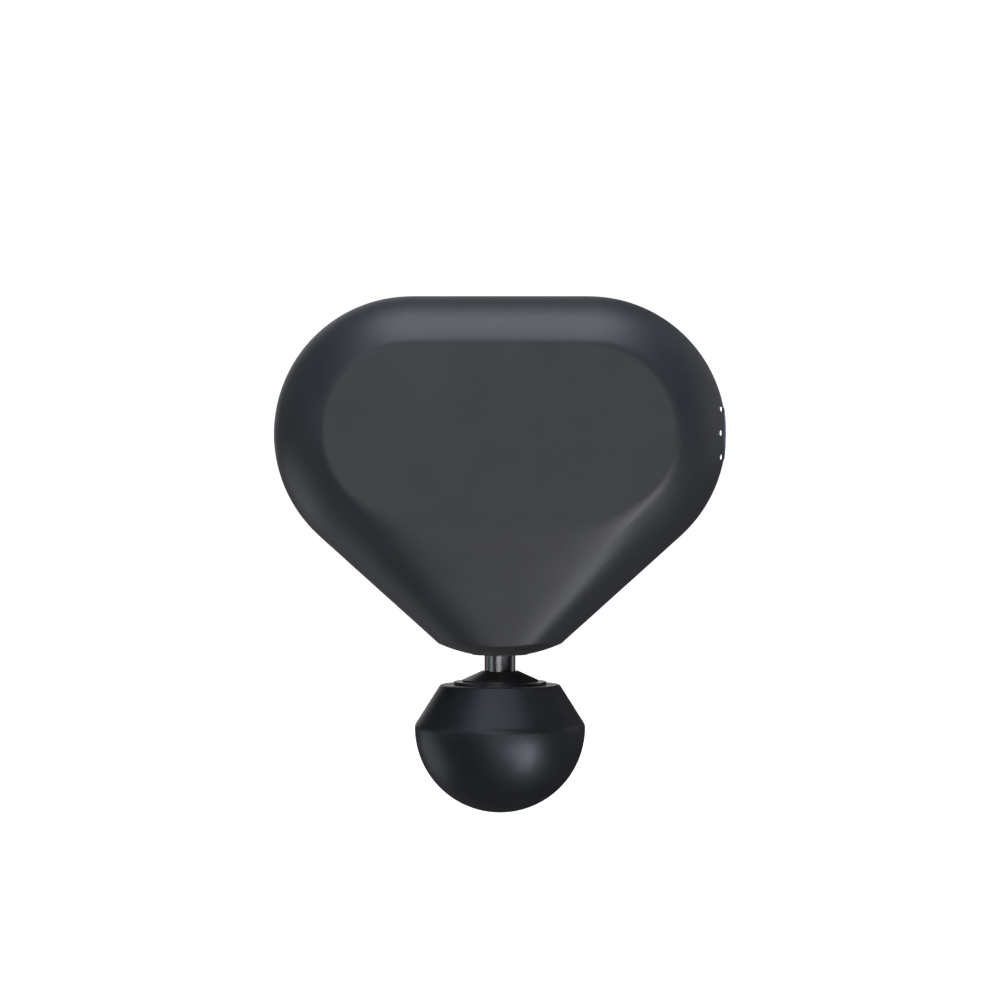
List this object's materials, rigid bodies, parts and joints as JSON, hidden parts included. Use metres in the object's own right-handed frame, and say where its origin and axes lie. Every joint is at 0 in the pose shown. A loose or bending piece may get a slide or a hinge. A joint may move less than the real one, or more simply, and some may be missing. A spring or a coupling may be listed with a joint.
{
  "type": "massage gun",
  "caption": "Palm-size percussive massage gun: flat two-lobed housing tapering to a nose, with a short reciprocating shaft that drives a ball head.",
  "frame": {"origin": "on the stroke axis, in the parting plane of the housing, at the height of the two lobe centres, where the palm closes round the housing", "axes": "+Z along the stroke axis away from the ball, -Y towards the front face, +X to the side with the power button"},
  "size_m": [0.1273, 0.05, 0.146],
  "materials": {
    "shell": "soft-touch charcoal",
    "ball": "matte dark grey moulded foam",
    "hub": "satin dark grey",
    "seal": "matt black",
    "light": "frosted pale blue light guide",
    "lens": "frosted white",
    "button": "dark navy gloss",
    "black_plastic": "plain black",
    "board": "green solder mask",
    "chip": "black package",
    "steel": "ground",
    "shaft_steel": "polished dark",
    "nickel": "nickel plate",
    "cast": "die cast",
    "lamination": "stacked laminations",
    "copper": "enamelled copper wire",
    "bronze": "sintered bronze",
    "magnet": "nickel plated magnet",
    "cell": "blue cell sleeve",
    "screen": "black dust mesh",
    "wire": "insulated wire"
  },
  "bodies": {
    "housing": {"front_shell": "shell", "rear_shell": "shell", "nose_collar": "black_plastic", "wiper_seal": "seal", "light_ring": "light", "status_lenses": "lens", "button_board": "board", "tact_switch": "chip", "vent_screen": "screen", "charge_port": "steel", "charge_tongue": "chip", "charge_board": "board", "stator_core": "lamination", "windings": "copper", "motor_mount": "cast", "motor_bearing_outer_rings": "steel", "motor_screws": "steel", "shaft_bushes": "bronze", "chassis": "cast", "chassis_pads": "seal", "chassis_screws": "steel", "battery_tray": "black_plastic", "battery_cells": "cell", "battery_tabs": "nickel", "main_board": "board", "board_parts": "chip", "board_screws": "steel", "battery_leads": "wire", "motor_leads": "wire", "button_wires": "wire", "charge_wires": "wire", "housing_screws": "steel"},
    "rotor": {"rotor_bell": "steel", "magnets": "magnet", "motor_spindle": "steel", "motor_bearing_inner_rings": "steel", "counterweight": "steel", "crank_pin": "steel", "crank_roller_inner_ring": "steel", "retaining_ring": "steel"},
    "rotor_bearing_balls": {"motor_bearing_balls": "steel"},
    "crank_roller": {"crank_roller_ring": "steel"},
    "crank_roller_balls": {"crank_roller_balls": "steel"},
    "shaft": {"yoke": "steel", "yoke_pin": "steel", "output_shaft": "shaft_steel", "detent_ring": "seal"},
    "attachment": {"attachment_hub": "hub", "ball_head": "ball"},
    "button": {"power_button": "button", "switch_plunger": "black_plastic"}
  },
  "joints": [
    {"name": "shaft_stroke", "type": "slide", "parent": "housing", "child": "shaft", "axis": [0, 0, -1], "range_m": [0, 0.012]},
    {"name": "motor_spin", "type": "hinge", "parent": "housing", "child": "rotor", "pos_m": [0, 0.009, -0.01], "axis": [0, 1, 0], "range_deg": [0, 180]},
    {"name": "motor_bearing_spin", "type": "hinge", "parent": "housing", "child": "rotor_bearing_balls", "pos_m": [0, 0.009, -0.01], "axis": [0, 1, 0], "range_deg": [0, 90]},
    {"name": "crank_roller_spin", "type": "hinge", "parent": "rotor", "child": "crank_roller", "pos_m": [0, 0, -0.004], "axis": [0, 1, 0], "continuous": true},
    {"name": "crank_roller_bearing_spin", "type": "hinge", "parent": "rotor", "child": "crank_roller_balls", "pos_m": [0, 0, -0.004], "axis": [0, 1, 0], "continuous": true},
    {"name": "attachment_pull", "type": "slide", "parent": "shaft", "child": "attachment", "axis": [0, 0, -1], "range_m": [0, 0.03]},
    {"name": "power_button_press", "type": "slide", "parent": "housing", "child": "button", "axis": [-1, 0, 0], "range_m": [0, 0.0008], "stiffness_N_per_m": 1500}
  ],
  "couplings": [
    {"joint": "motor_spin", "follows": "shaft_stroke", "rad_per_m": 261.79},
    {"joint": "motor_bearing_spin", "follows": "shaft_stroke", "rad_per_m": 107.33},
    {"joint": "crank_roller_bearing_spin", "follows": "crank_roller_spin", "ratio": 0.4}
  ]
}
